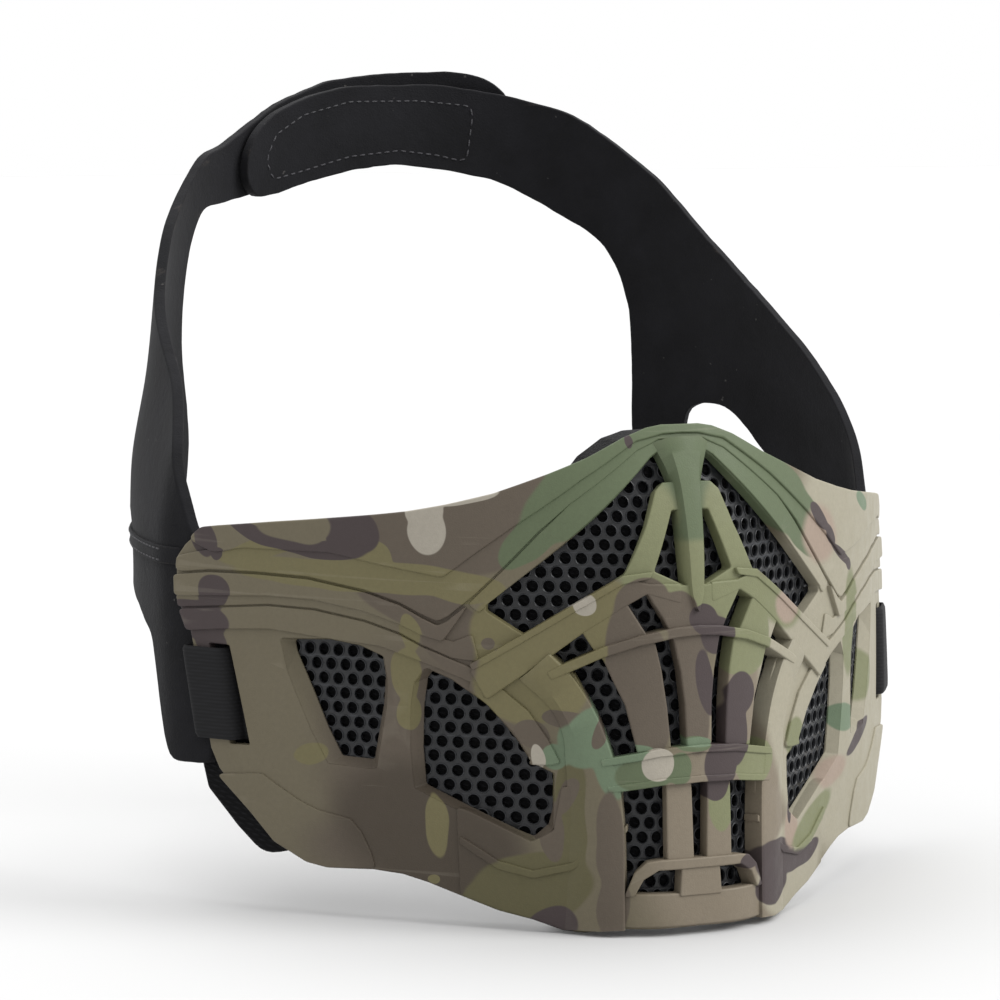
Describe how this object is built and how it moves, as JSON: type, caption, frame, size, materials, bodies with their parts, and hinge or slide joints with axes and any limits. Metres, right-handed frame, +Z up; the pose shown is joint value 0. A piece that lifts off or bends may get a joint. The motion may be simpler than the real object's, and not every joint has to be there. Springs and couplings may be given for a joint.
{
  "type": "half face mask",
  "caption": "Half face mask: camouflage moulding with ribbed windows over perforated plates, foam lining and a neoprene head strap with ear holes and hook-and-loop closure.",
  "frame": {"origin": "tip of the wearer's nose, on the plane of symmetry, 20 mm behind the moulding's foremost line", "axes": "+Z up, -Y out through the front of the mask, +X to the wearer's left"},
  "size_m": [0.2108, 0.2262, 0.2151],
  "materials": {
    "camo_shell": "satin woodland camouflage print",
    "perforated_plate": "black powder coat",
    "lining_fabric": "knitted lining",
    "foam": "soft foam",
    "webbing": "woven webbing",
    "neoprene": "fabric-faced neoprene",
    "binding_tape": "flat knitted tape",
    "hook_tape": "moulded hooks",
    "loop_tape": "brushed loop pile",
    "blackened_steel": "black oxide"
  },
  "bodies": {
    "mask": {"outer_shell": "camo_shell", "front_mesh": "perforated_plate", "cheek_front_mesh_left": "perforated_plate", "cheek_front_mesh_right": "perforated_plate", "cheek_rear_mesh_left": "perforated_plate", "cheek_rear_mesh_right": "perforated_plate", "front_liner": "lining_fabric", "cheek_liner_left": "lining_fabric", "cheek_liner_right": "lining_fabric", "nose_pad": "foam", "chin_pad": "foam", "strap_tab_left": "webbing", "strap_tab_right": "webbing", "mesh_screws": "blackened_steel"},
    "right_strap": {"strap_right": "neoprene", "side_panel_right": "neoprene", "seam_tape_right": "binding_tape", "loop_patch": "loop_tape"},
    "left_strap": {"strap_left": "neoprene", "side_panel_left": "neoprene", "seam_tape_left": "binding_tape", "hook_patch": "hook_tape"}
  },
  "joints": [
    {"name": "right_strap_open", "type": "hinge", "parent": "mask", "child": "right_strap", "pos_m": [-0.106, 0.0785, 0], "axis": [0, 0, 1], "range_deg": [0, 70]},
    {"name": "left_strap_open", "type": "hinge", "parent": "mask", "child": "left_strap", "pos_m": [0.106, 0.0785, 0], "axis": [0, 0, -1], "range_deg": [0, 24]}
  ],
  "couplings": [
    {"joint": "left_strap_open", "follows": "right_strap_open", "ratio": 0.33}
  ]
}
